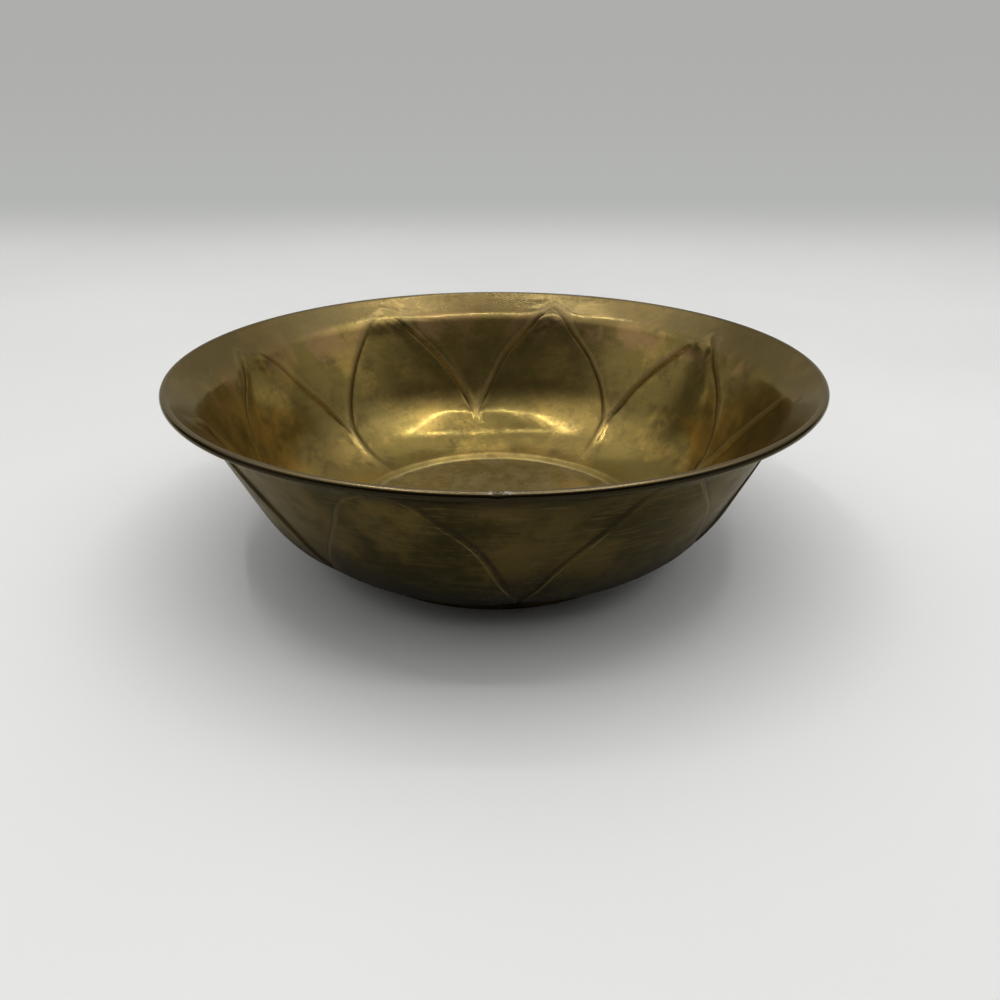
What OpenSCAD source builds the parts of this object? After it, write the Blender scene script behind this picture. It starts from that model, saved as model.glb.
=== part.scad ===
// Brass offering bowl: a spun sheet bowl with a ring of embossed lotus petals,
// a wired rim, and a low foot ring soldered under it.
// Millimetres, +Z up. The origin is on the bowl's axis, on the surface it stands on.

/* [Bowl] */
// Diameter over the rim bead
rim_d = 250; // [225:1:275]
// Height from the standing face to the top of the rim bead
bowl_h = 75; // [68:0.5:84]
// Thickness of the brass sheet
sheet_t = 0.8; // [0.6:0.05:1]
// Fall of the brim towards the centre, in degrees
brim_slope = 40; // [36:1:44]
// Length of the straight part of the brim
brim_l = 10.8; // [6:0.1:14]
// Inside radius of the bend where the brim turns down into the wall
shoulder_r = 14; // [10:0.5:18]
// Length of the straight wall between the shoulder and the belly
wall_l = 34.3; // [28:0.1:38]
// Fall of the belly where it ends at the base, in degrees
base_slope = 14; // [10:1:18]
// Inside radius of the bowl where the belly ends and the well begins
base_r = 65.5; // [60:0.5:68]

/* [Well in the floor] */
// Depth of the pressed well in the floor
well_depth = 2.6; // [2.2:0.1:3.4]
// Fall of the wall of the well, in degrees
well_slope = 55; // [45:1:65]
// Radius of the upper edge of the well
well_edge_r = 2; // [1.5:0.1:2.4]
// Radius of the corner at the foot of the well's wall
well_corner_r = 1.5; // [1:0.1:1.8]

/* [Lotus petals] */
// Number of petals round the bowl
petal_count = 8; // [6:1:10]
// How far from the base to the rim a petal's tip lies
petal_tip_share = 0.83; // [0.78:0.01:0.87]
// How far from the base to the rim the fork lies where two petals meet
petal_fork_share = 0.36; // [0.28:0.01:0.44]
// Plan radius of a petal's curved border
petal_arc_r = 52; // [46:1:60]
// How far a petal is pressed outwards
petal_relief = 1.2; // [0.8:0.1:1.5]
// Width of the ridge left between two petals, measured inside
ridge_w = 2.4; // [1.8:0.1:3]
// Plan thickness of the sheet in the step round a petal
step_t = 0.9; // [0.6:0.05:1.1]
// Turn of the whole petal pattern about the axis, in degrees
petal_turn = 7.2; // [0:0.1:45]

/* [Wired rim] */
// Diameter of the wire in the rim bead
wire_d = 1.2; // [1:0.1:1.6]
// Clearance between the wire and the sheet rolled round it
wire_gap = 0.1; // [0.05:0.01:0.15]
// Gap between the rolled edge and the underside of the brim
curl_gap = 0.3; // [0.2:0.05:0.4]

/* [Foot] */
// Width of the foot ring's wall
foot_wall = 2; // [1.5:0.1:2.5]
// How far the foot ring's bore lies inside the end of the belly
foot_inset = 0.6; // [0.4:0.1:0.8]
// How far the foot stands below the underside of the well
foot_lip = 3.2; // [2.5:0.1:3.8]
// Chamfer on the lower edges of the foot ring
foot_chamfer = 0.4; // [0.2:0.1:0.6]
// Leg of the solder fillet between the foot ring and the belly
solder_leg = 1; // [0.6:0.1:1.3]
// Thickness of the solder where it ends on the belly
solder_edge = 0.2; // [0.1:0.05:0.3]

/* [Hidden] */
$fn = 144;

// Largest turn between two neighbouring points on the arcs of the wall, in degrees
wall_step = 7;
// The same on the small arcs of the well and the rim bead
small_step = 20;
// How far cutting shapes run past what they cut
overrun = 0.5;
// Steepest wall that is looked for, in degrees
steepest = 89;
// Halvings of the range of slopes in which the wall's slope is found
halvings = 40;

// Directions in the half section, as [radius, height]: along a skin that falls
// towards the axis at h degrees, and square to it, out of the bowl
function along(h) = [-cos(h), -sin(h)];
function out(h) = [sin(h), -cos(h)];

function reversed(list) = [for (i = [len(list) - 1:-1:0]) list[i]];

// Points of an arc about c from slope h1 to slope h2. r is positive where the centre
// is inside the bowl and negative where it is outside.
function arc(c, r, h1, h2, step) =
    let (steps = ceil(abs(h2 - h1) / step))
    [for (i = [0:steps]) c + r * out(h1 + (h2 - h1) * i / steps)];

// Rim bead, rolled from the sheet round the wire
bore_r = wire_d / 2 + wire_gap;
bead_r = bore_r + sheet_t;
bead_c = [rim_d / 2 - bead_r, bowl_h - bead_r];

// Inside heights of the floor of the well and of the end of the belly
floor_z = foot_lip + sheet_t;
base_z = floor_z + well_depth;

// The inner skin is a chain of tangent lines and arcs: brim, shoulder, wall and belly
brim_start = bead_c - bead_r * out(brim_slope);
shoulder_c = brim_start + brim_l * along(brim_slope) + shoulder_r * out(brim_slope);

// For a wall that falls at h degrees: its lower end, the inside radius of a belly that
// comes down to the base from there, and how far from the axis that belly ends
function wall_foot(h) = shoulder_c - shoulder_r * out(h) + wall_l * along(h);
function belly_of(h) = (wall_foot(h)[1] - base_z) / (cos(base_slope) - cos(h));
function belly_end(h) = wall_foot(h)[0] + belly_of(h) * (sin(base_slope) - sin(h));

// A steeper wall ends its belly further out, so halving the range finds the slope
// at which the belly ends at base_r
function slope_between(low, high, left) =
    let (middle = (low + high) / 2)
    left == 0 ? middle
    : belly_end(middle) > base_r ? slope_between(low, middle, left - 1)
    : slope_between(middle, high, left - 1);
wall_slope = slope_between(brim_slope, steepest, halvings);
belly_r = belly_of(wall_slope);
belly_c = wall_foot(wall_slope) - belly_r * out(wall_slope);

// Centres and ends of the arcs of the well
edge_c = [base_r, base_z] + well_edge_r * out(base_slope);
edge_end = edge_c - well_edge_r * out(well_slope);
corner_top = floor_z + well_corner_r + well_corner_r * out(well_slope)[1];
well_wall_l = (edge_end[1] - corner_top) / sin(well_slope);
corner_c = edge_end + well_wall_l * along(well_slope) - well_corner_r * out(well_slope);

// Skin line that lies o outside the inner skin, from the bead to the end of the belly
function wall_skin(o) = concat(
    [brim_start + o * out(brim_slope)],
    arc(shoulder_c, o - shoulder_r, brim_slope, wall_slope, wall_step),
    arc(belly_c, belly_r + o, wall_slope, base_slope, wall_step)
);

// The same line carried on through the well to the axis
function skin(o) = concat(
    wall_skin(o),
    arc(edge_c, o - well_edge_r, base_slope, well_slope, small_step),
    arc(corner_c, well_corner_r + o, well_slope, 0, small_step),
    [[0, floor_z - o]]
);

// Height of the belly's underside at radius r
function belly_under(r) =
    belly_c[1] - sqrt(pow(belly_r + sheet_t, 2) - pow(r - belly_c[0], 2));

// Line round the rolled edge: from the brim over the outside of the bead to its open
// end, curl_gap short of the brim, and back along the bore
curl_turn = 270 + asin((bore_r - curl_gap) / bead_r);
curl = concat(
    arc(bead_c, -bead_r, brim_slope, brim_slope - curl_turn, small_step),
    arc(bead_c, -bore_r, brim_slope - curl_turn, brim_slope, small_step)
);

// Foot ring, and the plain band of belly left for it and its solder
foot_in_r = base_r - foot_inset;
foot_out_r = foot_in_r + foot_wall;
petal_base_r = foot_out_r + solder_leg + step_t;

// Centre of the arc that bounds a petal on its +Y side, for a petal along +X. The
// arc runs through the petal's tip and its fork.
half_angle = 180 / petal_count;
side_w = rim_d / 2 - base_r;
petal_tip = [base_r + petal_tip_share * side_w, 0];
petal_fork = (base_r + petal_fork_share * side_w) * [cos(half_angle), sin(half_angle)];
chord_l = norm(petal_tip - petal_fork);
chord_side = (petal_tip - petal_fork) / chord_l;
petal_arc_c = (petal_tip + petal_fork) / 2
    + sqrt(pow(petal_arc_r, 2) - pow(chord_l / 2, 2)) * [chord_side[1], -chord_side[0]];

// Plan of one petal along +X, grown by g all round
module petal_plan(g) {
    apex = (ridge_w / 2 - g) / sin(half_angle);
    reach = rim_d / 2;
    difference() {
        intersection() {
            translate(petal_arc_c)
                circle(r = petal_arc_r + g);
            mirror([0, 1])
                translate(petal_arc_c)
                    circle(r = petal_arc_r + g);
            polygon([
                [apex, 0],
                [apex + reach, reach * tan(half_angle)],
                [apex + reach, -reach * tan(half_angle)]
            ]);
        }
        circle(r = petal_base_r - g);
    }
}

// All petals between the skins that lie o1 and o2 outside the inner skin, each
// grown by g
module petal_fields(o1, o2, g) {
    intersection() {
        rotate_extrude()
            polygon(concat(wall_skin(o1), reversed(wall_skin(o2))));
        for (i = [0:petal_count - 1])
            rotate([0, 0, 90 + petal_turn + (i + 0.5) * 360 / petal_count])
                linear_extrude(height = bowl_h)
                    petal_plan(g);
    }
}

// Half section of what lies above the outer skin, to trim what is fixed under it
module above_shell() {
    polygon(concat(skin(sheet_t), [[0, bowl_h], brim_start]));
}

// Spun sheet bowl with its embossed petals and rolled edge
module bowl_shell() {
    color("darkgoldenrod")
        difference() {
            union() {
                rotate_extrude()
                    polygon(concat(reversed(skin(0)), curl, skin(sheet_t)));
                petal_fields(sheet_t / 2, sheet_t + petal_relief, step_t);
            }
            petal_fields(-overrun, petal_relief, 0);
        }
}

// Wire inside the rolled edge
module rim_wire() {
    color("goldenrod")
        rotate_extrude()
            translate(bead_c)
                circle(d = wire_d);
}

// Foot ring, its top cut to the underside of the belly
module foot_ring() {
    top_z = belly_under(foot_out_r) + overrun;
    color("peru")
        rotate_extrude()
            difference() {
                polygon([
                    [foot_in_r + foot_chamfer, 0],
                    [foot_out_r - foot_chamfer, 0],
                    [foot_out_r, foot_chamfer],
                    [foot_out_r, top_z],
                    [foot_in_r, top_z],
                    [foot_in_r, foot_chamfer]
                ]);
                above_shell();
            }
}

// Fillet of solder in the corner between the foot ring and the belly
module foot_solder() {
    solder_out_r = foot_out_r + solder_leg;
    edge_z = belly_under(solder_out_r);
    color("silver")
        rotate_extrude()
            difference() {
                polygon([
                    [foot_out_r, belly_under(foot_out_r) - solder_leg],
                    [solder_out_r, edge_z - solder_edge],
                    [solder_out_r, edge_z + overrun],
                    [foot_out_r, edge_z + overrun]
                ]);
                above_shell();
            }
}

bowl_shell();
rim_wire();
foot_ring();
foot_solder();
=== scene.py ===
import math
import bpy
import numpy as np
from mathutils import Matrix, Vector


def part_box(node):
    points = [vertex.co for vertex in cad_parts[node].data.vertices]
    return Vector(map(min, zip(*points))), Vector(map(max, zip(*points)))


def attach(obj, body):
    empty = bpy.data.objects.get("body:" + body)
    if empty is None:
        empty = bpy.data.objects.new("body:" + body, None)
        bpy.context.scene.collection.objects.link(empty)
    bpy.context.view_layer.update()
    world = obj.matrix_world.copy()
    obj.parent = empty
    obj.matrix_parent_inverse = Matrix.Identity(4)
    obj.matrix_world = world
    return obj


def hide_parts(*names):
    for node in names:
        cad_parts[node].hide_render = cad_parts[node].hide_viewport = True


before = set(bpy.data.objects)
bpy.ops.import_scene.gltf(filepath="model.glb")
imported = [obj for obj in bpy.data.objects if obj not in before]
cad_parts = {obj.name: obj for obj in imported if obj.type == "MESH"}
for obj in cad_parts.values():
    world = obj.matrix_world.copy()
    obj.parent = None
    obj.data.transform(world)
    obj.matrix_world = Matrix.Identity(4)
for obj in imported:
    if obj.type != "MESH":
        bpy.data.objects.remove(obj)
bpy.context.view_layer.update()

# Brass offering bowl: a thin spun shell with eight embossed lotus petals, a wired rim
# and a soldered foot ring. Metres, +Z up, origin on the axis where the bowl stands.
MM = 0.001
TURN = 2 * math.pi
rng = np.random.default_rng(8)

# What the construction gives
shell_low, shell_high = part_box("bowl_shell")
wire_low, wire_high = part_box("rim_wire")
RIM_R = min(shell_high.x, shell_high.y, -shell_low.x, -shell_low.y)
RIM_Z = shell_high.z
WIRE_R = (wire_high.z - wire_low.z) / 2

# Sheet and section of the shell
SHEET_T = 0.8 * MM
WIRE_GAP = 0.1 * MM
CURL_GAP = 0.3 * MM
BRIM_SLOPE = math.radians(40)
BRIM_L = 10.8 * MM
SHOULDER_R = 14 * MM
WALL_L = 34.3 * MM
BASE_SLOPE = math.radians(14)
BASE_R = 65.5 * MM
WELL_DEPTH = 2.6 * MM
WELL_SLOPE = math.radians(46)
WELL_EDGE_R = 3.0 * MM
WELL_CORNER_R = 1.6 * MM
STEEPEST = math.radians(89)
SECTION_STEPS = 400

# Petals, in plan
PETALS = 8
HALF = math.pi / PETALS
PETAL_TURN = math.radians(7.2)
TIP_R = 114.9 * MM
FORK_R = 86.9 * MM
ARC_R = 52 * MM
RIDGE_W = 3.6 * MM

# Radii between which the pressing comes in from the plain base
FADE_START = 66 * MM
FADE_END = 84 * MM

# Petals, in relief. The step round a petal is soft where the next petal is close, and
# sharp where it is far off.
RELIEF = 0.85 * MM
LIP_W = 3.4 * MM
LIP_RISE = 0.15 * MM
LIP_RISE_AT = 3.4 * MM
LIP_RISE_W = 1.5 * MM
SOFT_GAP = 1.8 * MM
SHARP_GAP = 7 * MM
GROOVE = 0.06 * MM
GROOVE_W = 0.4 * MM
BACK_FOOT = 1.5 * MM
BACK_TOP_SHARE = 0.32
PILLOW = 0.3 * MM
PILLOW_W = 9 * MM

# The petals are counted anticlockwise, seen from above, from the first one past the back.
# Left means that way round. For each petal: how far its tip lies up the wall, and how far
# it is turned left.
FIRST_AXIS = math.pi / 2 + PETAL_TURN + HALF
TIP_UP = np.array([1.2, 0.2, -0.6, 0.3, 0.2, 1.0, -0.8, 0.4]) * MM
TIP_LEFT = np.radians([0.5, 0.2, -0.4, -0.9, -0.3, 0.4, -0.2, 0.2])

# Each petal's left and right flank: how far it is pinched in near the tip, and how far
# it bulges low down
TIP_PINCH = np.radians([
    [0.8, 1.3], [3.9, -1.3], [1.2, 1.2], [1.4, -1.0],
    [1.1, 0.2], [1.2, 1.2], [1.0, 2.5], [1.5, 1.9],
])
LOW_BULGE = np.radians([
    [0.5, 0.9], [-0.5, 1.4], [0.6, 0.6], [-1.1, 1.2],
    [-1.0, 1.7], [0.6, 0.6], [0.7, 1.4], [-0.3, 1.1],
])

# Where they lie, with 0 at the height of the forks and 1 at that of the tips, and the
# largest shift of a border, as a share of the width left there
PINCH_AT, PINCH_SPREAD = 0.82, 0.17
BULGE_AT, BULGE_SPREAD = 0.3, 0.2
MOST_SHIFT = 0.7

# How much of the pressing is lost at each tip, on its left and right, and at the ridge
# left of each petal, and between which heights on the same scale
TIP_LOSS = np.array([
    [0.8, 0.6], [0.1, 0.9], [0.4, 0.2], [0.3, 0.3],
    [0.2, 0.4], [0.9, 0.8], [0.9, 0.0], [0.2, 0.1],
])
RIDGE_LOSS = np.array([0.5, 0.4, 0.3, 0.3, 0.3, 0.4, 0.5, 0.88])
TIP_LOSS_AT = (0.78, 0.97)
RIDGE_LOSS_AT = (-0.1, 0.1)

# The fork left of each petal: how far it lies up the wall, and how far the ridge below it
# is turned left at the fork and at the base
FORK_UP = np.array([0.4, -0.5, 0.6, -2.2, 0.5, -0.4, 0.2, -0.6]) * MM
FORK_LEFT = np.radians([-0.9, 0.3, -0.2, -1.4, -0.3, 0.2, 0.1, -0.2])
RIDGE_LEFT = np.radians([-1.6, 0.5, -0.6, -1.4, -0.5, 0.6, 0.2, 0.6])
FORK_ZONE = 14 * MM

# Mesh columns of half a petal inside the border, across it and outside it, the least
# angles that keep them apart near the tip, and the radii between which they come to
# follow the border and leave it again
COLUMNS = (14, 14, 8)
BORDER_ZONE = 2.6 * MM
LEAST_BORDER = math.radians(3.2)
LEAST_INSIDE = 0.6 * LEAST_BORDER
FOLLOWED_FROM = (BASE_R, FADE_END - 3 * MM)
FOLLOWED_TO = (TIP_R + MM, TIP_R + 6 * MM)

# Mesh rows of the inside and the outside from the axis to the bead, and round the bead
INNER_ROWS = dict(floor=8, corner=4, well=2, edge=5, belly=40, wall=28, shoulder=9, brim=16)
OUTER_ROWS = dict(floor=6, corner=3, well=1, edge=3, belly=20, wall=17, shoulder=6, brim=8)
BEAD_ROWS = 22
BORE_ROWS = 12

# Hand-made waviness of the sheet. It fades out towards the axis and the bead.
WAVES = 26
WAVE_H = 0.028 * MM
WAVE_LENGTHS = (28 * MM, 75 * MM)
WAVES_AT_R = 95 * MM
CALM_CENTRE = 15 * MM
CALM_EDGE = 4 * MM

# Chatter marks of the spinning: how many round the bowl, their height and spacing, and
# the radii of the belts that have them with each belt's reach
CHATTER_COUNT = 104
CHATTER_H = 0.07 * MM
CHATTER_RISE = 5 * MM
CHATTER_BELTS = ((84.8 * MM, 8 * MM), (111 * MM, 3 * MM))

# Dents, some near each petal's tip, spread up the wall and aside, and some anywhere
TIP_DENTS = 7
TIP_DENTS_UP = 5 * MM
TIP_DENTS_ASIDE = math.radians(6)
DENTS = 110
DENTS_FROM = 30 * MM
DENT_H = 0.10 * MM
DENT_R = (2.5 * MM, 6 * MM)

# Small nick worn in the front of the rim, how much of it also goes inwards and how far
# its middle leans off the top of the bead, and the bare chip round it
NICK_ANGLE = math.radians(-89.3)
NICK_W = 1.6 * MM
NICK_DEPTH = 0.35 * MM
NICK_INWARD = 0.5
NICK_LEAN = 0.6
CHIP_ANGLE = math.radians(-89.2)
CHIP_W = 4.5 * MM

# Where the bead is worn and shaded, measured from its centre: rubbed above, painted
# shade below that, plain again further down
BEAD_EDGE = 0.5 * MM
RUBBED_ABOVE = (0.9 * MM, 1.35 * MM)
PLAIN_BELOW = (-1.5 * MM, -1.1 * MM)


def inward(slope):
    """Direction in the section, [radius, height], down a skin that falls at slope."""
    return np.array([-np.cos(slope), -np.sin(slope)])


def outward(slope):
    """Direction in the section square to that skin, out of the bowl."""
    return np.array([np.sin(slope), -np.cos(slope)])


def smooth(x, low, high):
    """0 at low, 1 at high and a soft step between."""
    t = np.clip((x - low) / (high - low), 0, 1)
    return t * t * (3 - 2 * t)


# Bead and the turn of its rolled edge, and the places that the sheet's section runs through
BORE_R = WIRE_R + WIRE_GAP
BEAD_R = BORE_R + SHEET_T
BEAD_C = np.array([RIM_R - BEAD_R, RIM_Z - BEAD_R])
CURL_TURN = math.radians(270) + math.asin((BORE_R - CURL_GAP) / BEAD_R)
FLOOR_Z = shell_low.z + SHEET_T
BASE_Z = FLOOR_Z + WELL_DEPTH
BRIM_START = BEAD_C - BEAD_R * outward(BRIM_SLOPE)
SHOULDER_C = BRIM_START + BRIM_L * inward(BRIM_SLOPE) + SHOULDER_R * outward(BRIM_SLOPE)


def wall_foot(slope):
    """Lower end of a straight wall that falls at slope."""
    return SHOULDER_C - SHOULDER_R * outward(slope) + WALL_L * inward(slope)


def belly_of(slope):
    """Radius of the belly that comes down to the base from that wall."""
    return (wall_foot(slope)[1] - BASE_Z) / (math.cos(BASE_SLOPE) - math.cos(slope))


def find_wall_slope(halvings=40):
    """Slope of the wall at which the belly ends at the base's radius."""
    low, high = BRIM_SLOPE, STEEPEST
    for _ in range(halvings):
        middle = (low + high) / 2
        side = belly_of(middle) * (math.sin(BASE_SLOPE) - math.sin(middle))
        if wall_foot(middle)[0] + side > BASE_R:
            high = middle
        else:
            low = middle
    return (low + high) / 2


WALL_SLOPE = find_wall_slope()
BELLY_R = belly_of(WALL_SLOPE)
BELLY_C = wall_foot(WALL_SLOPE) - BELLY_R * outward(WALL_SLOPE)


def section():
    """Inner skin from the axis to the bead: length along it, radius, height, slope, and
    the lengths at which its parts end."""
    edge_c = np.array([BASE_R, BASE_Z]) + WELL_EDGE_R * outward(BASE_SLOPE)
    edge_end = edge_c - WELL_EDGE_R * outward(WELL_SLOPE)
    corner_top = FLOOR_Z + WELL_CORNER_R + WELL_CORNER_R * outward(WELL_SLOPE)[1]
    well_l = (edge_end[1] - corner_top) / math.sin(WELL_SLOPE)
    corner_c = edge_end + well_l * inward(WELL_SLOPE) - WELL_CORNER_R * outward(WELL_SLOPE)
    parts = (
        ("floor", None, corner_c[0], 0, 0),
        ("corner", corner_c, WELL_CORNER_R, 0, WELL_SLOPE),
        ("well", None, well_l, WELL_SLOPE, WELL_SLOPE),
        ("edge", edge_c, -WELL_EDGE_R, WELL_SLOPE, BASE_SLOPE),
        ("belly", BELLY_C, BELLY_R, BASE_SLOPE, WALL_SLOPE),
        ("wall", None, WALL_L, WALL_SLOPE, WALL_SLOPE),
        ("shoulder", SHOULDER_C, -SHOULDER_R, WALL_SLOPE, BRIM_SLOPE),
        ("brim", None, BRIM_L, BRIM_SLOPE, BRIM_SLOPE),
    )
    place = np.array([0.0, FLOOR_Z])
    length = 0.0
    ends = {}
    found = []
    t = np.linspace(0, 1, SECTION_STEPS)
    for name, centre, size, first, last in parts:
        slopes = first + (last - first) * t
        if centre is None:
            points = place[:, None] - inward(first)[:, None] * size * t
            part_l = size
        else:
            points = centre[:, None] + size * outward(slopes)
            part_l = abs(size * (last - first))
        found.append(np.stack([length + part_l * t, points[0], points[1], slopes]))
        place = points[:, -1]
        length += part_l
        ends[name] = length
    return np.concatenate(found, axis=1), ends


SECTION, ENDS = section()


def at(lengths):
    """Radius, height and slope of the inner skin at lengths along it."""
    return tuple(np.interp(lengths, SECTION[0], SECTION[i]) for i in (1, 2, 3))


def length_at(radius):
    """Length along the inner skin at which it has this radius."""
    return np.interp(radius, SECTION[1], SECTION[0])


TIP_L = length_at(TIP_R)
FORK_L = length_at(FORK_R)


def tip_share(lengths):
    """0 at the height of the forks and 1 at that of the tips."""
    return (lengths - FORK_L) / (TIP_L - FORK_L)


def rows(counts):
    """Lengths of mesh rows from the axis to the bead, evenly spread in each part."""
    places = []
    start = 0.0
    for name, count in counts.items():
        places += list(np.linspace(start, ENDS[name], count + 1)[1:])
        start = ENDS[name]
    return np.array(places)


# Centre, seen from above, of the arc that bounds a petal on its left
TIP = np.array([TIP_R, 0])
FORK = FORK_R * np.array([math.cos(HALF), math.sin(HALF)])
CHORD = np.linalg.norm(TIP - FORK)
CHORD_SIDE = (TIP - FORK) / CHORD
SAG = math.sqrt(ARC_R ** 2 - (CHORD / 2) ** 2)
ARC_C = (TIP + FORK) / 2 + SAG * np.array([CHORD_SIDE[1], -CHORD_SIDE[0]])


def border_angle(radius):
    """Angle from a petal's axis to its border, at a radius."""
    far = np.hypot(*ARC_C)
    cosine = (radius ** 2 + far ** 2 - ARC_R ** 2) / (2 * radius * far)
    arc = np.arctan2(ARC_C[1], ARC_C[0]) + np.arccos(np.clip(cosine, -1, 1))
    ridge = HALF - np.arcsin(np.clip(RIDGE_W / 2 / radius, 0, 1))
    return np.clip(np.minimum(arc, ridge), 0, HALF)


def column_angles(radius):
    """Angles from a petal's axis to the columns of half a petal, one line per radius."""
    inside, across, outside = COLUMNS
    total = inside + across + outside
    zone = BORDER_ZONE / radius
    border = np.maximum(border_angle(radius), LEAST_BORDER)
    first = np.maximum(border - zone, LEAST_INSIDE)
    last = np.minimum(border + zone, HALF - (HALF - first) * outside / (across + outside))
    knots = np.stack([np.zeros_like(radius), first, last, np.full_like(radius, HALF)])
    marks = [0, inside, inside + across, total]
    numbers = np.arange(total + 1)
    followed = np.array([np.interp(numbers, marks, knots[:, i]) for i in range(len(radius))])
    even = HALF * numbers / total
    weight = smooth(radius, *FOLLOWED_FROM) * (1 - smooth(radius, *FOLLOWED_TO))
    return even + (followed - even) * weight[:, None]


def border_distance(radius, angle, slope):
    """Distance over the sheet from a petal's border, positive inside the petal."""
    across = np.stack([radius * np.cos(angle) - ARC_C[0], radius * np.sin(angle) - ARC_C[1]])
    reach = np.hypot(*across)
    arc = ARC_R - reach
    along_r = across[0] * np.cos(angle) + across[1] * np.sin(angle)
    arc_r = along_r / reach
    ridge = radius * np.sin(HALF - angle) - RIDGE_W / 2
    ridge_r = np.sin(HALF - angle)
    plan = np.minimum(arc, ridge)
    toward = np.where(arc < ridge, arc_r, ridge_r)
    return plan / np.sqrt(1 - toward ** 2 * np.sin(slope) ** 2)


def half_gap(radius):
    """Half the width left between two petals, at a radius."""
    return radius * (HALF - border_angle(radius))


def inner_relief(radius, angle, slope):
    """How far the inside of the sheet is pressed outwards."""
    d = border_distance(radius, angle, slope)
    width = np.minimum(LIP_W, half_gap(radius))
    sharp = 1 - np.cos(np.clip(1 + d / width, 0, 1) * math.pi / 2)
    soft = (1 - np.cos(np.clip((1 + d / width) / 2, 0, 1) * math.pi)) / 2
    step = sharp + (soft - sharp) * (1 - smooth(half_gap(radius), SOFT_GAP, SHARP_GAP))
    rise = LIP_RISE * np.exp(-((d + LIP_RISE_AT) / LIP_RISE_W) ** 2)
    rise = rise * smooth(half_gap(radius), 0, 2 * LIP_RISE_AT)
    groove = GROOVE * np.exp(-((d - GROOVE_W / 2) / GROOVE_W) ** 2)
    pressed = RELIEF * step + groove - rise + PILLOW * smooth(d, 0, PILLOW_W)
    return pressed * smooth(radius, FADE_START, FADE_END), d


def outer_relief(radius, angle, slope):
    """How far the outside of the sheet is pressed outwards."""
    d = border_distance(radius, angle, slope)
    foot = np.minimum(BACK_FOOT, half_gap(radius))
    step = np.sin(np.clip((d / foot + 1) / (1 - BACK_TOP_SHARE), 0, 1) * math.pi / 2)
    pressed = RELIEF * step + PILLOW * smooth(d, 0, PILLOW_W)
    return pressed * smooth(radius, FADE_START, FADE_END), d


def wave_table():
    """Strength, turns round the bowl, wave number up the wall and phases of each wave."""
    wavelengths = rng.uniform(*WAVE_LENGTHS, WAVES)
    headings = rng.uniform(0, math.pi, WAVES)
    turns = np.round(TURN / wavelengths * np.cos(headings) * WAVES_AT_R)
    up = TURN / wavelengths * np.sin(headings)
    heights = WAVE_H * rng.uniform(0.4, 1, WAVES)
    phases = rng.uniform(0, TURN, WAVES)
    return np.stack([heights, turns, up, phases])


def dent_table():
    """Length along the skin, angle, radius and depth of each dent."""
    petals = np.repeat(np.arange(PETALS), TIP_DENTS)
    near_l = TIP_L + rng.normal(0, TIP_DENTS_UP, petals.size)
    near_a = 2 * HALF * petals + rng.normal(0, TIP_DENTS_ASIDE, petals.size)
    far_l = rng.uniform(DENTS_FROM, ENDS["shoulder"], DENTS)
    far_a = rng.uniform(0, TURN, DENTS)
    count = petals.size + DENTS
    heights = DENT_H * rng.uniform(-1, 1, count)
    radii = rng.uniform(*DENT_R, count)
    return np.stack([np.append(near_l, far_l), np.append(near_a, far_a), radii, heights])


WAVE_TABLE = wave_table()
DENT_TABLE = dent_table()


def add_waves(strays, lengths, angles):
    for height, turns, up, phase in WAVE_TABLE.T:
        strays += height * np.cos(turns * angles + up * lengths + phase)


def add_chatter(strays, lengths, angles):
    """Small marks of the spinning, uneven and drifting round the bowl."""
    uneven = 0.6 + 0.4 * np.cos(7 * angles + 1.0) * np.cos(3 * angles)
    marks = CHATTER_H * uneven * np.cos(CHATTER_COUNT * angles + 6 * np.sin(5 * angles))
    for belt, size in CHATTER_BELTS:
        off = lengths - length_at(belt)
        strays += marks * np.exp(-(off / size) ** 2) * np.cos(TURN * off / CHATTER_RISE)


def add_dents(strays, lengths, angles):
    radius = at(lengths)[0]
    for dent_l, dent_a, size, height in DENT_TABLE.T:
        aside = radius * np.sin(angles - dent_a)
        far = ((lengths - dent_l) ** 2 + aside ** 2) / size ** 2
        strays += height * np.exp(-far) * (np.cos(angles - dent_a) > 0)


def waviness(lengths, angles):
    """How far the hand-made sheet strays outwards from a true round bowl."""
    strays = np.zeros_like(angles)
    add_waves(strays, lengths, angles)
    add_chatter(strays, lengths, angles)
    add_dents(strays, lengths, angles)
    off_centre = smooth(lengths, 0, CALM_CENTRE)
    return strays * (off_centre * (1 - smooth(lengths, ENDS["brim"] - CALM_EDGE, ENDS["brim"])))


def round_bowl(half_values, stride, sign=1, turn=0.0):
    """Spreads values of half a petal over the whole bowl, as one line per row. The other
    half's values are times sign, and each petal's are turn more than the last one's."""
    half = half_values[:, ::stride]
    both = np.concatenate([sign * half[:, :0:-1], half[:, :-1]], axis=1)
    return np.concatenate([both + turn * i for i in range(PETALS)], axis=1)


def petal_at(angles):
    """The number of the petal at each angle, and the angle from that petal's axis."""
    nearest = np.round(angles / (2 * HALF))
    return nearest.astype(int) % PETALS, angles - 2 * HALF * nearest


def petal_share(angles):
    """The same number, and how close each angle is to that petal's axis."""
    number, off = petal_at(angles)
    return number, np.cos(np.clip(np.abs(off) / HALF, 0, 1) * math.pi / 2) ** 2


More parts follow.
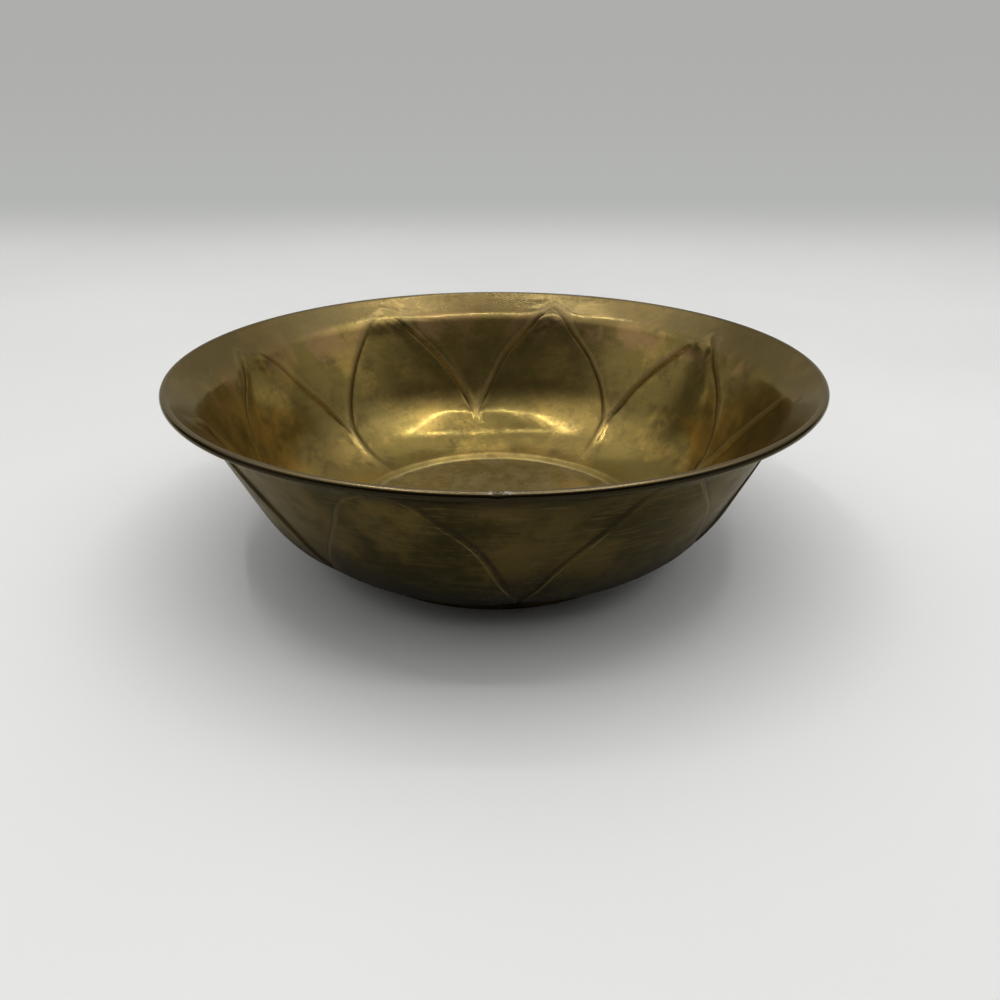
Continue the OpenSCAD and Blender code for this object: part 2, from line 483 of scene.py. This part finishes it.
def flank_shift(lengths, angles):
    """How far each flank's own shape turns a place away from its petal's axis."""
    number, off = petal_at(angles)
    side = (off < 0).astype(int)
    share = tip_share(lengths)
    pinch = TIP_PINCH[number, side] * np.exp(-((share - PINCH_AT) / PINCH_SPREAD) ** 2)
    bulge = LOW_BULGE[number, side] * np.exp(-((share - BULGE_AT) / BULGE_SPREAD) ** 2)
    border = np.maximum(border_angle(at(lengths)[0]), LEAST_BORDER)
    outwards = np.clip(bulge - pinch, -MOST_SHIFT * border, MOST_SHIFT * (HALF - border))
    size = np.abs(off)
    weight = np.clip(np.minimum(size / border, (HALF - size) / (HALF - border)), 0, 1)
    return outwards * weight * np.sign(off)


def shifted(lengths, angles):
    """Moves the pattern a little over the bowl, as hand work leaves it."""
    number, near_tip = petal_share(angles)
    fork_number, near_fork = petal_share(angles - HALF)
    tip_zone = smooth(lengths, length_at(FADE_END), TIP_L)
    tip_zone = tip_zone * (1 - smooth(lengths, TIP_L + MM, ENDS["brim"]))
    fork_zone = np.exp(-((lengths - FORK_L) / FORK_ZONE) ** 2)
    below = 1 - smooth(lengths, length_at(FADE_START), FORK_L)
    up = TIP_UP[number] * near_tip * tip_zone + FORK_UP[fork_number] * near_fork * fork_zone
    left = TIP_LEFT[number] * near_tip * tip_zone
    left += FORK_LEFT[fork_number] * near_fork * fork_zone * (1 - below)
    left += RIDGE_LEFT[fork_number] * near_fork * below
    return lengths + up, angles + left + flank_shift(lengths, angles)


def pressing_kept(lengths, angles):
    """Share of the pressing that is left, less at tips and ridges that are rubbed flat."""
    number, off = petal_at(angles)
    share = tip_share(lengths)
    leftness = smooth(off, -LEAST_BORDER, LEAST_BORDER)
    loss = TIP_LOSS[number, 0] * leftness + TIP_LOSS[number, 1] * (1 - leftness)
    fork_number, near_fork = petal_share(angles - HALF)
    ridge_loss = RIDGE_LOSS[fork_number] * near_fork * (1 - smooth(share, *RIDGE_LOSS_AT))
    return (1 - loss * smooth(share, *TIP_LOSS_AT)) * (1 - ridge_loss)


def skin(lengths, offset, relief, stride):
    """Points of one skin of the shell, their distance from the petals' borders and the
    share of the pressing that is left at them."""
    lengths = lengths[:, None]
    radius, _, slope = at(lengths)
    half_angles = column_angles(radius[:, 0])
    pressed, border = relief(radius, half_angles, slope)
    angles = round_bowl(half_angles, stride, -1, 2 * HALF)
    kept = pressing_kept(lengths, angles)
    moved, turned = shifted(lengths, angles)
    radius, height, slope = at(moved)
    out = offset + round_bowl(pressed, stride) * kept + waviness(moved, turned)
    turned = turned + FIRST_AXIS
    radius = radius + out * np.sin(slope)
    height = height - out * np.cos(slope)
    points = np.stack([radius * np.cos(turned), radius * np.sin(turned), height], axis=2)
    return points, round_bowl(border, stride), kept


def nick(slopes, angles):
    """How deep the nick is at places round the bead and round the bowl."""
    aside = np.sin(angles - NICK_ANGLE) * RIM_R / NICK_W
    across = (np.cos(angles - NICK_ANGLE) > 0) * np.exp(-aside ** 2)
    return NICK_DEPTH * across * np.clip(np.cos(slopes + NICK_LEAN), 0, 1)[:, None]


def bead_rows(radius, count, backwards, stride):
    """Points round the rolled edge, on its outside or along its bore."""
    slopes = BRIM_SLOPE - CURL_TURN * np.arange(1, count + 1) / count
    if backwards:
        slopes = np.concatenate([slopes[::-1], [BRIM_SLOPE]])
    half_angles = column_angles(np.full(len(slopes), BRIM_START[0]))
    angles = round_bowl(half_angles, stride, -1, 2 * HALF) + FIRST_AXIS
    points = BEAD_C[:, None] - radius * outward(slopes)
    sunk = np.zeros_like(angles) if backwards else nick(slopes, angles)
    out = points[0][:, None] - sunk * NICK_INWARD
    height = points[1][:, None] - sunk
    return np.stack([out * np.cos(angles), out * np.sin(angles), height], axis=2)


def over_points(centre, inside, rolled, outside):
    """One value per point, in the order of the points of the whole sheet."""
    return np.concatenate([[centre], inside.ravel(), rolled, outside.ravel(), [centre]])


def make_shell():
    """The whole sheet as one closed mesh, with values for its wear and painted shade written on its
    points.
    """
    outer_l = rows(OUTER_ROWS)[:-1][::-1]
    inner, inner_border, inner_kept = skin(rows(INNER_ROWS), 0, inner_relief, 1)
    bead = bead_rows(BEAD_R, BEAD_ROWS, False, 1)
    bore = bead_rows(BORE_R, BORE_ROWS, True, 2)
    outer, outer_border, outer_kept = skin(outer_l, SHEET_T, outer_relief, 2)

    fine = np.concatenate([inner, bead])
    coarse = np.concatenate([bore, outer])
    top, under = [[0, 0, FLOOR_Z]], [[0, 0, FLOOR_Z - SHEET_T]]
    points = np.concatenate([top, fine.reshape(-1, 3), coarse.reshape(-1, 3), under])
    fine_points, coarse_points = fine[..., 0].size, coarse[..., 0].size
    far_off = np.full(bead[..., 0].size + bore[..., 0].size, -1.0)
    none_kept = np.zeros(far_off.size)
    wear_and_shade = {
        "border_mm": over_points(-1, inner_border, far_off, outer_border) / MM,
        "kept": over_points(1, inner_kept, none_kept, outer_kept),
        "outside": np.concatenate([np.zeros(1 + fine_points), np.ones(coarse_points + 1)]),
    }
    return points, shell_faces(fine.shape, coarse.shape), wear_and_shade


def ring_quads(start, lines, columns):
    """Quads between neighbouring closed rows of a grid of points."""
    i, j = np.meshgrid(np.arange(lines - 1), np.arange(columns), indexing="ij")
    a = start + i * columns + j
    b = start + i * columns + (j + 1) % columns
    return np.stack([a, a + columns, b + columns, b], axis=-1).reshape(-1, 4).tolist()


def shell_faces(fine, coarse):
    """Faces over the fine inside, the coarse outside and the seam between them."""
    lines, columns = fine[:2]
    out_lines, out_columns = coarse[:2]
    faces = [[0, 1 + j, 1 + (j + 1) % columns] for j in range(columns)]
    faces += ring_quads(1, lines, columns)
    last = 1 + (lines - 1) * columns
    first = 1 + lines * columns
    for j in range(out_columns):
        a, b, c = last + 2 * j, last + 2 * j + 1, last + (2 * j + 2) % columns
        d, e = first + j, first + (j + 1) % out_columns
        faces += [[a, d, b], [b, d, e], [b, e, c]]
    faces += ring_quads(first, out_lines, out_columns)
    end = first + (out_lines - 1) * out_columns
    centre = end + out_columns
    faces += [[end + j, centre, end + (j + 1) % out_columns] for j in range(out_columns)]
    return faces


def new_object(name, points, faces, material):
    mesh = bpy.data.meshes.new(name)
    mesh.from_pydata(np.asarray(points).tolist(), [], faces)
    mesh.polygons.foreach_set("use_smooth", [True] * len(mesh.polygons))
    mesh.materials.append(material)
    mesh.update()
    made = bpy.data.objects.new(name, mesh)
    bpy.context.scene.collection.objects.link(made)
    return made


def add_values(made, name, values):
    layer = made.data.attributes.new(name, "FLOAT", "POINT")
    layer.data.foreach_set("value", np.asarray(values, np.float32))


class Graph:
    """Adds shader nodes and links them."""

    def __init__(self, tree):
        self.tree = tree

    def add(self, kind, inputs=(), **settings):
        made = self.tree.nodes.new(kind)
        for name, value in settings.items():
            setattr(made, name, value)
        for name, value in dict(inputs).items():
            self.feed(made.inputs[name], value)
        return made

    def feed(self, socket, value):
        if isinstance(value, bpy.types.NodeSocket):
            self.tree.links.new(value, socket)
        else:
            socket.default_value = value

    def noise(self, place, scale, detail, rough):
        inputs = {"Vector": place, "Scale": scale, "Detail": detail, "Roughness": rough}
        return self.add("ShaderNodeTexNoise", inputs).outputs["Fac"]

    def math(self, kind, a, b=0.0, c=0.0):
        return self.add("ShaderNodeMath", {0: a, 1: b, 2: c}, operation=kind).outputs[0]

    def times(self, a, b):
        return self.math("MULTIPLY", a, b)

    def added(self, value, factor, base):
        """The value times the factor, added to the base."""
        return self.math("MULTIPLY_ADD", value, factor, base)

    def span(self, value, low, high, to_low=0.0, to_high=1.0):
        """A soft step from to_low where the value is low to to_high where it is high."""
        inputs = {"Value": value, "From Min": low, "From Max": high}
        inputs.update({"To Min": to_low, "To Max": to_high})
        return self.add("ShaderNodeMapRange", inputs, interpolation_type="SMOOTHSTEP").outputs[0]

    def mix(self, factor, a, b, kind="MIX"):
        made = self.add("ShaderNodeMix", data_type="RGBA", blend_type=kind)
        self.feed(made.inputs[0], factor)
        self.feed(made.inputs[6], a)
        self.feed(made.inputs[7], b)
        return made.outputs[2]

    def scaled(self, place, x, y, z):
        inputs = {0: place, 1: (x, y, z)}
        return self.add("ShaderNodeVectorMath", inputs, operation="MULTIPLY").outputs[0]

    def value_of(self, name):
        return self.add("ShaderNodeAttribute", attribute_name=name).outputs["Fac"]


# Tints of the brass
GOLD = (0.42, 0.286, 0.076, 1)
OLIVE = (0.25, 0.183, 0.049, 1)
DUSKY = (0.19, 0.137, 0.044, 1)
BROWN = (0.13, 0.090, 0.029, 1)
COPPER = (0.35, 0.215, 0.09, 1)
RUBBED = (0.29, 0.21, 0.085, 1)
PALE = (0.50, 0.42, 0.27, 1)
# Dark stain outside, partly tarnish and partly painted shade for the shaded floor it mirrors
STAIN_AND_SHADE = (0.021, 0.016, 0.0025, 1)
# Dirt for the pits, and painted shade for the petals' borders and the bead's outer side
DIRT_AND_SHADE = (0.022, 0.016, 0.007, 1)
# Near-black painted shade, low on the outside
LOW_SHADE = (0.007, 0.005, 0.002, 1)
FILM = (0.31, 0.258, 0.130, 1)
FILM_DARK = (0.20, 0.168, 0.068, 1)
BRIM_FILM = (0.15, 0.110, 0.047, 1)
RIM_TOP = (0.17, 0.135, 0.085, 1)
BARE = (0.32, 0.30, 0.25, 1)

# Heights at which the sheet's tint changes: the middle and reach of the flush round the
# shoulder and of the painted shade on the well's edge, and where the films and the
# painted shade low on the outside begin and end
FLUSH_Z, FLUSH_REACH = SHOULDER_C[1] + 4 * MM, 11 * MM
# The band of painted shade round the well's edge
RING_Z, RING_REACH = BASE_Z - 1.3 * MM, 2.2 * MM
BRIM_FILM_Z = (SHOULDER_C[1] + 4 * MM, SHOULDER_C[1] + 12 * MM)
FLOOR_FILM_Z = (FLOOR_Z + 0.7 * MM, FLOOR_Z + 0.1 * MM)
LOW_SHADE_Z = (15 * MM, 42 * MM)

# Distances from a petal's border, in millimetres, of the line of dirt and painted shade, the
# rubbed lip and the pale edge outside, each with its reach. The first two shift on the outside.
LINE_AT, LINE_REACH = 0.5, 0.8
LINE_SHIFT, LINE_WIDER = -2.0, 0.5
LIP_AT, LIP_SHIFT, LIP_REACH = -2.2, 2.3, 2.4
EDGE_AT, EDGE_REACH = -0.1, 0.5

# Values written on the sheet's points, for its wear and its painted shade
WEAR_AND_SHADE_NAMES = ("border_mm", "outside", "line", "kept", "rim", "under", "chip")


def new_material(name):
    material = bpy.data.materials.new(name)
    material.use_nodes = True
    graph = Graph(material.node_tree)
    shader = material.node_tree.nodes["Principled BSDF"]
    return material, graph, shader


def turning_place(graph, place, along=0.06, rise=-0.6):
    """Coordinates in which noise runs in streaks round the bowl."""
    parts = graph.add("ShaderNodeSeparateXYZ", {0: place}).outputs
    radius = graph.math("SQRT", graph.added(parts[1], parts[1], graph.times(parts[0], parts[0])))
    inputs = {
        0: graph.times(parts[0], along),
        1: graph.times(parts[1], along),
        2: graph.added(radius, rise, parts[2]),
    }
    return graph.add("ShaderNodeCombineXYZ", inputs).outputs[0]


def near(graph, value, middle, reach):
    """1 where a value is at the middle, falling to 0 at this reach from it."""
    away = graph.math("ABSOLUTE", graph.math("SUBTRACT", value, middle))
    return graph.span(away, 0.0, reach, 1.0, 0.0)


def scratches(graph, place, along, across, width):
    """Thin wandering lines, drawn out along one direction, only here and there."""
    drawn = graph.scaled(place, along, across, across)
    lines = near(graph, graph.noise(drawn, 1, 2, 0.5), 0.5, width)
    return graph.times(lines, graph.span(graph.noise(place, 35, 2, 0.5), 0.52, 0.62))


def brass_noises(graph, place, round_place):
    """The patterns that the brass's tints and gloss share, from broad to fine."""
    return {
        "drifts": graph.noise(place, 10, 3, 0.5),
        "clouds": graph.noise(place, 24, 5, 0.62),
        "patches": graph.noise(place, 80, 6, 0.65),
        "streaks": graph.noise(round_place, 420, 4, 0.6),
        "pits": graph.noise(place, 1100, 2, 0.5),
    }


def clouded(graph, noises):
    """Gold and olive clouds with dusky drifts, brown patches and brown streaks."""
    colour = graph.mix(graph.span(noises["clouds"], 0.45, 0.56), OLIVE, GOLD)
    colour = graph.mix(graph.span(noises["drifts"], 0.47, 0.58, 0, 0.5), colour, DUSKY)
    colour = graph.mix(graph.span(noises["patches"], 0.5, 0.66, 0, 0.6), colour, BROWN)
    return graph.mix(graph.span(noises["streaks"], 0.45, 0.75, 0, 0.25), colour, BROWN)


def flushed(graph, colour, place, height, outside):
    """Coppery flush round the inside of the shoulder, and a dull film on the brim."""
    belt = near(graph, height, FLUSH_Z, FLUSH_REACH)
    share = graph.times(belt, graph.span(graph.noise(place, 48, 4, 0.6), 0.47, 0.56, 0, 0.85))
    share = graph.times(share, graph.math("SUBTRACT", 1.0, outside))
    colour = graph.mix(share, colour, COPPER)
    return graph.mix(graph.span(height, *BRIM_FILM_Z, 0, 0.75), colour, BRIM_FILM)


def filmed_and_shaded_well(graph, colour, place, height, patches):
    """Mottled film on the floor and an edge round the well with painted shade that dims its
    highlight, and where they lie.
    """
    on_floor = graph.span(height, *FLOOR_FILM_Z)
    filmed = graph.times(on_floor, graph.span(patches, 0.35, 0.6, 0.85, 0.95))
    mottled = graph.span(graph.noise(place, 130, 5, 0.6), 0.44, 0.58, 0, 0.8)
    colour = graph.mix(filmed, colour, graph.mix(mottled, FILM, FILM_DARK))
    # Painted shade on the well's edge, dimming the highlight it catches
    ringed = near(graph, height, RING_Z, RING_REACH)
    colour = graph.mix(graph.times(ringed, 0.6), colour, DUSKY)
    return colour, graph.math("MAXIMUM", filmed, ringed)


def stained_and_shaded_outside(graph, colour, round_place, height, clouds, outside):
    """Dark stain outside, partly painted shade, with fine brown turning lines, painted shade that
    goes near black low down, and its share.
    """
    # Stain and painted shade: most of the outside is darkened towards the stain
    stained_and_shaded = graph.times(outside, graph.span(clouds, 0.42, 0.62, 0.97, 0.78))
    colour = graph.mix(stained_and_shaded, colour, STAIN_AND_SHADE)
    fine = graph.span(graph.noise(round_place, 1500, 2, 0.6), 0.5, 0.72, 0, 0.5)
    colour = graph.mix(graph.times(outside, fine), colour, BROWN)
    # Painted shade: the outside goes near black towards the bottom
    low_shaded = graph.times(outside, graph.span(height, *LOW_SHADE_Z, 0.95, 0))
    return graph.mix(low_shaded, colour, LOW_SHADE), low_shaded


def worn_and_shaded_borders(graph, colour, wear_and_shade, patches):
    """Dirt and painted shade in the petals' borders, a rubbed lip inside and a thin edge outside.
    """
    outside = wear_and_shade["outside"]
    # The line in the borders: partly dirt, partly painted shade in the step's hollow
    line_at = graph.added(outside, LINE_SHIFT, LINE_AT)
    line_reach = graph.added(outside, LINE_WIDER, LINE_REACH)
    line = graph.times(near(graph, wear_and_shade["border_mm"], line_at, line_reach), wear_and_shade["line"])
    dirt_and_shade = graph.added(outside, 0.55, graph.span(patches, 0.3, 0.6, 0.1, 0.35))
    colour = graph.mix(graph.times(line, dirt_and_shade), colour, DIRT_AND_SHADE)

    lip = near(graph, wear_and_shade["border_mm"], graph.added(outside, LIP_SHIFT, LIP_AT), LIP_REACH)
    kept_inside = graph.math("MAXIMUM", graph.math("SUBTRACT", wear_and_shade["kept"], outside), 0.0)
    lip = graph.times(lip, kept_inside)
    edge = graph.times(near(graph, wear_and_shade["border_mm"], EDGE_AT, EDGE_REACH), outside)
    edge_rubbed = graph.times(edge, graph.span(patches, 0.42, 0.62, 0.03, 0.4))
    colour = graph.mix(edge_rubbed, colour, RUBBED)
    lip_rubbed = graph.times(lip, graph.span(patches, 0.35, 0.7, 0.35, 0.75))
    colour = graph.mix(lip_rubbed, colour, RUBBED)
    return colour, line, lip


def specked(graph, colour, place, pits, outside):
    """Pale specks, fewer outside, dark pits and pale scratches."""
    specks = graph.span(graph.noise(place, 800, 2, 0.5), 0.69, 0.76, 0, 0.35)
    colour = graph.mix(graph.times(specks, graph.added(outside, -0.8, 1.0)), colour, PALE)
    colour = graph.mix(graph.span(pits, 0.67, 0.73, 0, 0.7), colour, DIRT_AND_SHADE)
    scores = scratches(graph, place, 25, 1500, 0.006)
    return graph.mix(graph.times(scores, 0.5), colour, PALE)


def worn_and_shaded_rim(graph, colour, place, wear_and_shade, patches):
    """The bead rubbed on top, darkened below that with painted shade, and bare where it is chipped.
    """
    top = graph.times(wear_and_shade["rim"], graph.span(patches, 0.4, 0.65, 0.5, 0.9))
    colour = graph.mix(top, colour, RIM_TOP)
    # Painted shade on the bead's outer side
    colour = graph.mix(wear_and_shade["under"], colour, DIRT_AND_SHADE)
    bare = graph.span(graph.noise(place, 900, 3, 0.6), 0.49, 0.56)
    bare = graph.times(wear_and_shade["chip"], bare)
    return graph.mix(bare, colour, BARE), bare


def brass_surface(graph, place, round_place, pits):
    """Bump of fine turning marks, grains, orange peel and pits."""
    turned = graph.times(graph.noise(round_place, 1500, 3, 0.6), 0.25)
    grains = graph.added(graph.noise(place, 700, 2, 0.5), 0.3, turned)
    peel = graph.math("ADD", graph.noise(place, 260, 3, 0.5), grains)
    peel = graph.added(pits, -0.2, peel)
    inputs = {"Strength": 0.35, "Distance": 0.12 * MM, "Height": peel}
    return graph.add("ShaderNodeBump", inputs).outputs[0]


def patinated_brass():
    """Old sheet brass: olive-gold, brown outside with painted shade near black low down, rubbed on
    its edges, specked.
    """
    material, graph, shader = new_material("patinated_brass")
    place = graph.add("ShaderNodeTexCoord").outputs["Object"]
    round_place = turning_place(graph, place)
    height = graph.add("ShaderNodeSeparateXYZ", {0: place}).outputs[2]
    wear_and_shade = {name: graph.value_of(name) for name in WEAR_AND_SHADE_NAMES}
    outside = wear_and_shade["outside"]
    noises = brass_noises(graph, place, round_place)
    patches, pits = noises["patches"], noises["pits"]

    colour = clouded(graph, noises)
    colour = flushed(graph, colour, place, height, outside)
    colour, filmed = filmed_and_shaded_well(graph, colour, place, height, patches)
    # Stain and painted shade outside, and the share of painted shade low down
    colour, low_shaded = stained_and_shaded_outside(graph, colour, round_place, height, noises["clouds"], outside)
    colour, line, lip = worn_and_shaded_borders(graph, colour, wear_and_shade, patches)
    colour = specked(graph, colour, place, pits, outside)
    colour, bare = worn_and_shaded_rim(graph, colour, place, wear_and_shade, patches)
    graph.feed(shader.inputs["Base Color"], colour)

    rough = graph.span(patches, 0.3, 0.75, 0.10, 0.22)
    rougher = (
        (outside, 0.14), (noises["streaks"], 0.06), (lip, 0.25), (filmed, 0.22),
        (line, 0.1), (low_shaded, 0.4), (bare, 0.25),
    )
    for share, more in rougher:
        rough = graph.added(share, more, rough)
    graph.feed(shader.inputs["Roughness"], rough)
    graph.feed(shader.inputs["Metallic"], graph.added(low_shaded, -0.82, 0.82))
    graph.feed(shader.inputs["Normal"], brass_surface(graph, place, round_place, pits))
    shader.inputs["Specular Tint"].default_value = (0.8, 0.74, 0.6, 1)
    shader.inputs["Specular IOR Level"].default_value = 0.1
    shader.inputs["Coat Weight"].default_value = 0.04
    shader.inputs["Coat Roughness"].default_value = 0.22
    return material


# Small hidden pieces: the material's name, its tint, its darker tint and its roughness
SMALL_PIECES = {
    "rim_wire": ("wire_brass", (0.5, 0.38, 0.17, 1), (0.3, 0.22, 0.1, 1), 0.4),
    # The foot ring's near-black tints are painted shade, for the dark under the bowl
    "foot_ring": ("foot_brass", (0.16, 0.12, 0.05, 1), (0.07, 0.052, 0.022, 1), 0.4),
    "foot_solder": ("hard_solder", (0.42, 0.38, 0.28, 1), (0.2, 0.17, 0.1, 1), 0.5),
}
SPOTS = (0.05, 0.04, 0.02, 1)


def dull_brass(name, colour, dark, rough):
    """Plain metal of a small hidden piece, with its own stains. The foot ring's dark tints are
    painted shade.
    """
    material, graph, shader = new_material(name)
    place = graph.add("ShaderNodeTexCoord").outputs["Object"]
    clouds = graph.noise(place, 60, 5, 0.6)
    grains = graph.noise(place, 700, 3, 0.6)
    tint = graph.mix(graph.span(clouds, 0.35, 0.7), colour, dark)
    tint = graph.mix(graph.span(grains, 0.6, 0.75, 0, 0.6), tint, SPOTS)
    graph.feed(shader.inputs["Base Color"], tint)
    graph.feed(shader.inputs["Roughness"], graph.span(grains, 0.3, 0.7, rough - 0.08, rough + 0.12))
    shader.inputs["Metallic"].default_value = 1.0
    bump = graph.add("ShaderNodeBump", {"Strength": 0.4, "Distance": 0.1 * MM, "Height": grains})
    graph.feed(shader.inputs["Normal"], bump.outputs[0])
    return material


def rim_wear_and_shade(points):
    """Where the bead is rubbed on top, carries painted shade below that, and is chipped down to
    bare metal.
    """
    across = np.hypot(points[:, 0], points[:, 1])
    round_at = np.arctan2(points[:, 1], points[:, 0])
    up = points[:, 2] - BEAD_C[1]
    on_bead = smooth(across, BRIM_START[0] - BEAD_EDGE, BRIM_START[0] + BEAD_EDGE)
    high = smooth(up, *RUBBED_ABOVE)
    low = 1 - smooth(up, *PLAIN_BELOW)
    from_chip = np.abs(round_at - CHIP_ANGLE) * RIM_R
    return {
        "rim": on_bead * high,
        # Painted shade on the bead's side, below the rubbed top
        "under": on_bead * (1 - high) * (1 - low),
        "chip": on_bead * high * (1 - smooth(from_chip, 0.4 * CHIP_W, CHIP_W)),
    }


def build_bowl():
    """The sheet with its wear and painted shade, in place of the construction's shell."""
    points, faces, wear_and_shade = make_shell()
    shell = new_object("bowl_sheet", points, faces, patinated_brass())
    wear_and_shade.update(rim_wear_and_shade(points))
    across = np.clip(np.hypot(points[:, 0], points[:, 1]), FADE_START, TIP_R)
    # Where the line of dirt and painted shade is drawn, fading where the pressing is lost and where
    # petals are close
    wear_and_shade["line"] = wear_and_shade["kept"] * smooth(half_gap(across), SOFT_GAP, SHARP_GAP)
    for name, values in wear_and_shade.items():
        add_values(shell, name, values)
    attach(shell, "root")
    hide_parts("bowl_shell")


def finish_cad_nodes():
    for name, look in SMALL_PIECES.items():
        material = dull_brass(*look)
        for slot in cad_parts[name].material_slots:
            slot.material = material


# Stage, seen only behind and under the bowl
FLOOR_HALF = 1.6
BACKDROP_Y = 0.95
BACKDROP_H = 1.2
SWEEP_R = 0.35
SWEEP_POINTS = 13

# Its paper, and the grey that the backdrop has low down and high up, with the heights
# between which the one gives way to the other and the grey begins to show
PAPER = (0.86, 0.86, 0.85, 1)
PAPER_DULL = (0.82, 0.82, 0.81, 1)
GREY_LOW = (0.455, 0.465, 0.45, 1)
GREY_HIGH = (0.425, 0.425, 0.415, 1)
GREY_Z = (0.03, 0.25)
SHOWN_Z = (0.0, 0.06)


def pale_stage(name):
    """Pale paper, with the backdrop's grey seen by the camera and in reflections."""
    material, graph, shader = new_material(name)
    place = graph.add("ShaderNodeTexCoord").outputs["Object"]
    clouds = graph.noise(place, 3, 3, 0.5)
    tint = graph.mix(graph.span(clouds, 0.3, 0.7), PAPER, PAPER_DULL)
    graph.feed(shader.inputs["Base Color"], tint)
    shader.inputs["Roughness"].default_value = 0.75
    height = graph.add("ShaderNodeSeparateXYZ", {0: place}).outputs[2]
    grey = graph.mix(graph.span(height, *GREY_Z), GREY_LOW, GREY_HIGH)
    glow = graph.add("ShaderNodeEmission", {"Color": grey}).outputs[0]
    rays = graph.add("ShaderNodeLightPath").outputs
    seen = graph.math("MAXIMUM", rays["Is Camera Ray"], rays["Is Glossy Ray"])
    seen = graph.math("MAXIMUM", seen, rays["Is Transmission Ray"])
    share = graph.times(seen, graph.span(height, *SHOWN_Z))
    mixed = graph.add("ShaderNodeMixShader", {0: share, 1: shader.outputs[0], 2: glow}).outputs[0]
    output = material.node_tree.nodes["Material Output"]
    graph.feed(output.inputs["Surface"], mixed)
    return material


def build_stage():
    """One sheet: the floor, a round sweep and the backdrop behind it."""
    line = [(-FLOOR_HALF, 0.0), (0.0, 0.0)]
    for a in np.linspace(0, math.pi / 2, SWEEP_POINTS):
        behind = BACKDROP_Y - SWEEP_R + SWEEP_R * math.sin(a)
        line.append((behind, SWEEP_R - SWEEP_R * math.cos(a)))
    line.append((BACKDROP_Y, BACKDROP_H))
    points = [(x, y, z) for y, z in line for x in (-FLOOR_HALF, FLOOR_HALF)]
    faces = [[2 * i, 2 * i + 1, 2 * i + 3, 2 * i + 2] for i in range(len(line) - 1)]
    stage = new_object("stage", points, faces, pale_stage("stage_paper"))


# Overhead frame of strip lamps, seen as bright lines in the belly: its corners as x and
# y, its height, and the strips' width and strength
FRAME = ((0.41, -0.36), (-0.33, -0.36), (-0.5, 0.18), (0.58, 0.18))
FRAME_Z = 1.2
STRIP_W = 0.022
STRIP_POWER = (1.1, 1.3, 1.1, 0.8)

# Brightness of the room against height. The ramp starts with its two ends, so these come
# first.
SKY_LEVELS = (
    (0.0, 0.02), (1.0, 0.65), (0.34, 0.06), (0.5, 0.18),
    (0.64, 0.6), (0.77, 1.12), (0.87, 1.3), (0.95, 1.05),
)

# How much of it is left on the camera's side and behind the bowl, and from where to where
# it changes
FRONT_SHARE = 0.2
FRONT_Y = (-0.8, -0.38)
BACK_SHARE = 0.75
BACK_Y = (0.1, 0.6)

# Soft glows: the way to each, its brightness, and the cosines at its edge and its core
GLOWS = (
    ((0.42, -0.1, 0.90), 0.6, 0.92, 0.99),
    ((0.86, 0.02, 0.51), 0.42, 0.86, 0.985),
    ((-0.86, -0.12, 0.50), 0.5, 0.90, 0.985),
)


def strip(name, start, end, power):
    """A long thin lamp between two places, facing down."""
    data = bpy.data.lights.new(name, "AREA")
    data.shape = "RECTANGLE"
    data.size = math.dist(start, end)
    data.size_y = STRIP_W
    data.energy = power
    made = bpy.data.objects.new(name, data)
    made.location = ((start[0] + end[0]) / 2, (start[1] + end[1]) / 2, FRAME_Z)
    made.rotation_euler = (0, 0, math.atan2(end[1] - start[1], end[0] - start[0]))
    bpy.context.scene.collection.objects.link(made)


def sky(graph, height):
    """Grey of the room at a height, dim low down and brightest at 60 degrees up."""
    node = graph.add("ShaderNodeValToRGB", {"Fac": height})
    stops = node.color_ramp.elements
    for index, (place, level) in enumerate(SKY_LEVELS):
        stop = stops[index] if index < 2 else stops.new(place)
        stop.position = place
        stop.color = (level, level, level, 1)
    return node.outputs["Color"]


def room_light():
    """The world: a sky that is dimmer in front and a little behind, and soft glows."""
    world = bpy.data.worlds.new("room")
    bpy.context.scene.world = world
    world.use_nodes = True
    graph = Graph(world.node_tree)
    way = graph.add("ShaderNodeTexCoord").outputs["Generated"]
    parts = graph.add("ShaderNodeSeparateXYZ", {0: way}).outputs
    front = graph.span(parts[1], *FRONT_Y, FRONT_SHARE, 1)
    back = graph.span(parts[1], *BACK_Y, 1, BACK_SHARE)
    colour = graph.mix(1.0, sky(graph, parts[2]), graph.times(front, back), "MULTIPLY")
    for toward, level, edge, core in GLOWS:
        inputs = {0: way, 1: toward}
        dot = graph.add("ShaderNodeVectorMath", inputs, operation="DOT_PRODUCT").outputs["Value"]
        colour = graph.mix(1.0, colour, graph.span(dot, edge, core, 0, level), "ADD")
    backing = world.node_tree.nodes["Background"]
    graph.feed(backing.inputs["Color"], colour)
    backing.inputs["Strength"].default_value = 1.0


def build_light():
    for index, power in enumerate(STRIP_POWER):
        strip("strip_%d" % index, FRAME[index], FRAME[(index + 1) % len(FRAME)], power)
    room_light()


# Camera, where the photo was taken from
EYE = (0.0020, -0.3101, 0.1645)
LOOK_DOWN = math.radians(26.24)
LENS_MM = 28.8
SENSOR_MM = 36
NEAREST = 0.01


def build_camera():
    data = bpy.data.cameras.new("camera")
    data.lens = LENS_MM
    data.sensor_width = SENSOR_MM
    data.clip_start = NEAREST
    camera = bpy.data.objects.new("camera", data)
    camera.location = EYE
    camera.rotation_euler = (math.pi / 2 - LOOK_DOWN, 0, 0)
    bpy.context.scene.collection.objects.link(camera)
    bpy.context.scene.camera = camera


build_camera()
build_bowl()
finish_cad_nodes()
build_stage()
build_light()
bpy.context.scene.view_settings.view_transform = "Standard"
